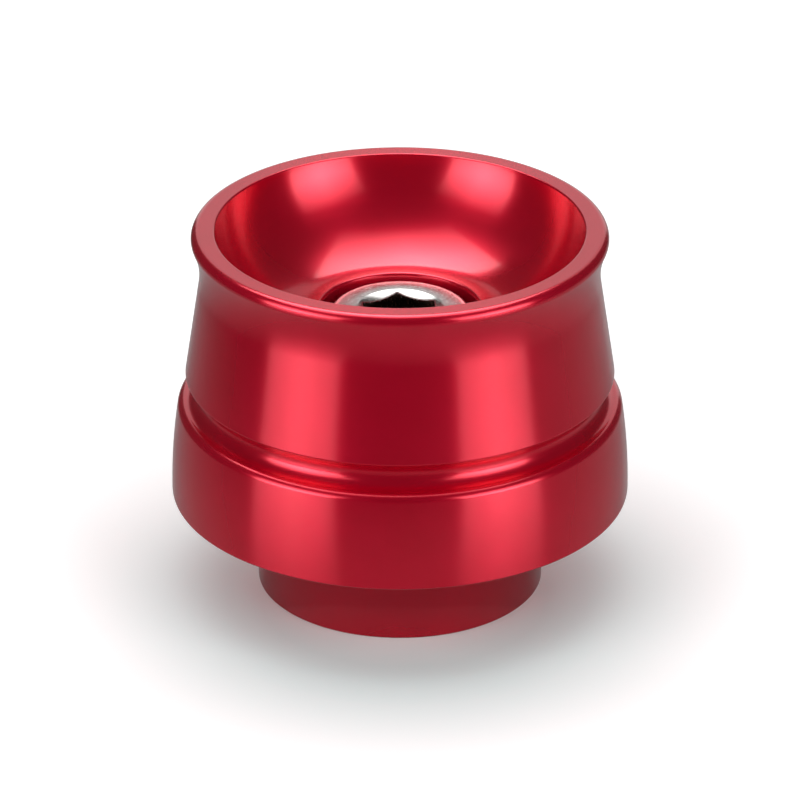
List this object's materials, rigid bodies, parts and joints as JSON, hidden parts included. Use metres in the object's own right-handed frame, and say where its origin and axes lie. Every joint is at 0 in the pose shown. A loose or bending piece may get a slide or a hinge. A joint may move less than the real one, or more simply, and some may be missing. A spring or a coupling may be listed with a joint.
{
  "type": "bar end weight",
  "caption": "Turned red anodised aluminium weight for the end of a handlebar, with a flared rim, a dished cup, a round-bottomed groove, a spigot and a hexagon socket cap screw.",
  "frame": {"origin": "centre of the shoulder, in the plane where the end of the bar meets the collar", "axes": "+Z along the screw's axis, out of the bar and towards the cup; X and Y are alike, as the weight is turned"},
  "size_m": [0.032, 0.032, 0.037],
  "materials": {
    "red_anodised": "turned, then anodised red with a satin gloss",
    "stainless": "bare stainless steel, cold-headed, with a rolled thread"
  },
  "bodies": {
    "root": {"weight_body": "red_anodised", "cap_screw": "stainless"}
  },
  "joints": []
}
